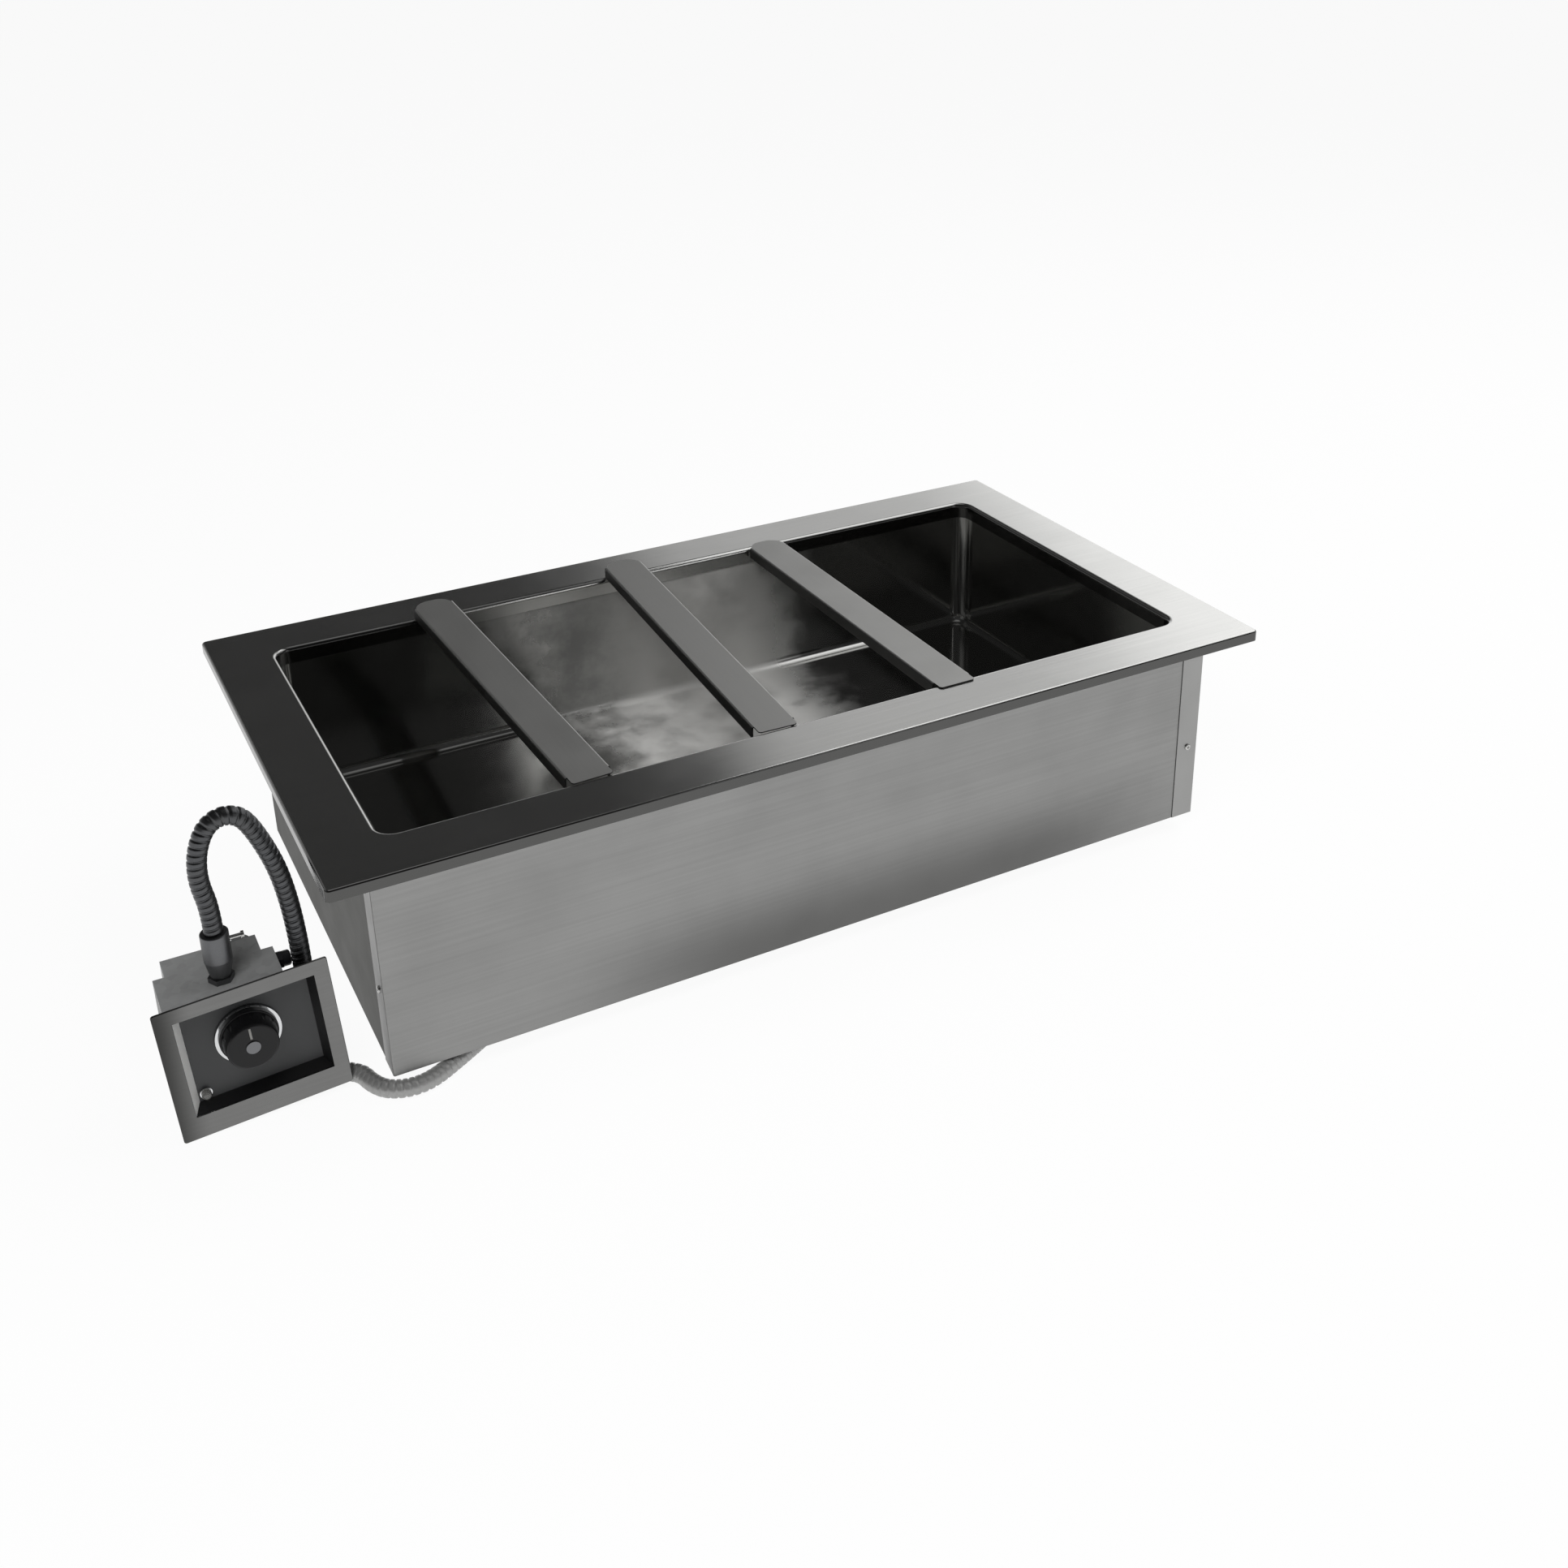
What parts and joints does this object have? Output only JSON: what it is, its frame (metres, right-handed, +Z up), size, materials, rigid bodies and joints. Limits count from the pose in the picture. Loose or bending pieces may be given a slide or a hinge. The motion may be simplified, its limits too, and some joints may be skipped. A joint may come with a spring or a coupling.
{
  "type": "bain-marie",
  "caption": "Drop-in bain-marie: rectangular heated tank under a flat steel rim, loose adapter bars across it, insulated casing and a remote control box on flexible conduit.",
  "frame": {"origin": "centre of the counter cut-out, on the counter's top plane, which is the underside of the rim's hem", "axes": "+X to the right along the rim, +Y to the back, +Z up out of the counter"},
  "size_m": [1.3726, 0.656, 0.3604],
  "materials": {
    "rim_steel": "brushed along its length",
    "tank_steel": "satin drawn sheet",
    "casing_steel": "galvanised and lightly brushed",
    "bar_steel": "satin",
    "bezel_steel": "brushed",
    "panel_grey": "satin dark grey",
    "box_steel": "zinc plated",
    "screw_steel": "zinc plated",
    "mineral_wool": "pressed fibre",
    "bright_foil": "bright",
    "element_sheath": "oxidised",
    "strap_steel": "zinc plated",
    "copper": "drawn",
    "black_plastic": "moulded",
    "terminal_ceramic": "unglazed",
    "drain_steel": "polished",
    "gasket_rubber": "moulded",
    "locknut_zinc": "zinc plated",
    "knob_black": "moulded",
    "ring_chrome": "polished",
    "cap_aluminium": "turned",
    "pointer_white": "inlaid",
    "lens_clear": "moulded, frosted inside",
    "connector_zinc": "die cast zinc, dull",
    "conduit_steel": "wound galvanised strip"
  },
  "bodies": {
    "root": {"top_rim": "rim_steel", "well_liner": "tank_steel", "casing_front": "casing_steel", "casing_right": "casing_steel", "casing_back": "casing_steel", "casing_left": "casing_steel", "casing_base": "casing_steel", "casing_screws": "screw_steel", "base_screws": "screw_steel", "base_insulation": "mineral_wool", "heat_shield": "bright_foil", "side_insulation": "mineral_wool", "element_clamps": "strap_steel", "thermostat_bulb": "copper", "bulb_clips": "strap_steel", "capillary_tube": "copper", "high_limit_cutout": "black_plastic", "terminal_block": "terminal_ceramic", "drain_fitting": "drain_steel", "drain_screen": "drain_steel", "drain_gasket": "gasket_rubber", "drain_locknut": "locknut_zinc", "control_bezel": "bezel_steel", "control_recess": "panel_grey", "control_housing": "box_steel", "control_rear_cover": "box_steel", "cover_screws": "screw_steel", "thermostat_body": "black_plastic", "thermostat_nut": "screw_steel", "pilot_lamp_body": "ring_chrome", "pilot_lamp_lens": "lens_clear", "blanking_plug": "black_plastic", "box_connector": "connector_zinc", "connector_screw": "screw_steel", "box_locknut": "locknut_zinc", "elbow_connector": "connector_zinc", "elbow_locknut": "locknut_zinc", "conduit": "conduit_steel", "heating_element_1": "element_sheath", "heating_element_2": "element_sheath", "heating_element_3": "element_sheath", "heating_element_4": "element_sheath"},
    "knob": {"knob": "knob_black", "knob_ring": "ring_chrome", "knob_cap": "cap_aluminium", "knob_pointer": "pointer_white", "thermostat_spindle": "screw_steel"},
    "bar_left": {"adapter_bar_left": "bar_steel"},
    "bar_centre": {"adapter_bar_centre": "bar_steel"},
    "bar_right": {"adapter_bar_right": "bar_steel"}
  },
  "joints": [
    {"name": "knob_turn", "type": "hinge", "parent": "root", "child": "knob", "pos_m": [-0.68189, -0.253, -0.18402], "axis": [0, 1, 0], "range_deg": [0, 270]},
    {"name": "bar_left_lift", "type": "slide", "parent": "root", "child": "bar_left", "axis": [0, 0, 1], "range_m": [0, 0.2]},
    {"name": "bar_centre_lift", "type": "slide", "parent": "root", "child": "bar_centre", "axis": [0, 0, 1], "range_m": [0, 0.2]},
    {"name": "bar_right_lift", "type": "slide", "parent": "root", "child": "bar_right", "axis": [0, 0, 1], "range_m": [0, 0.2]}
  ]
}
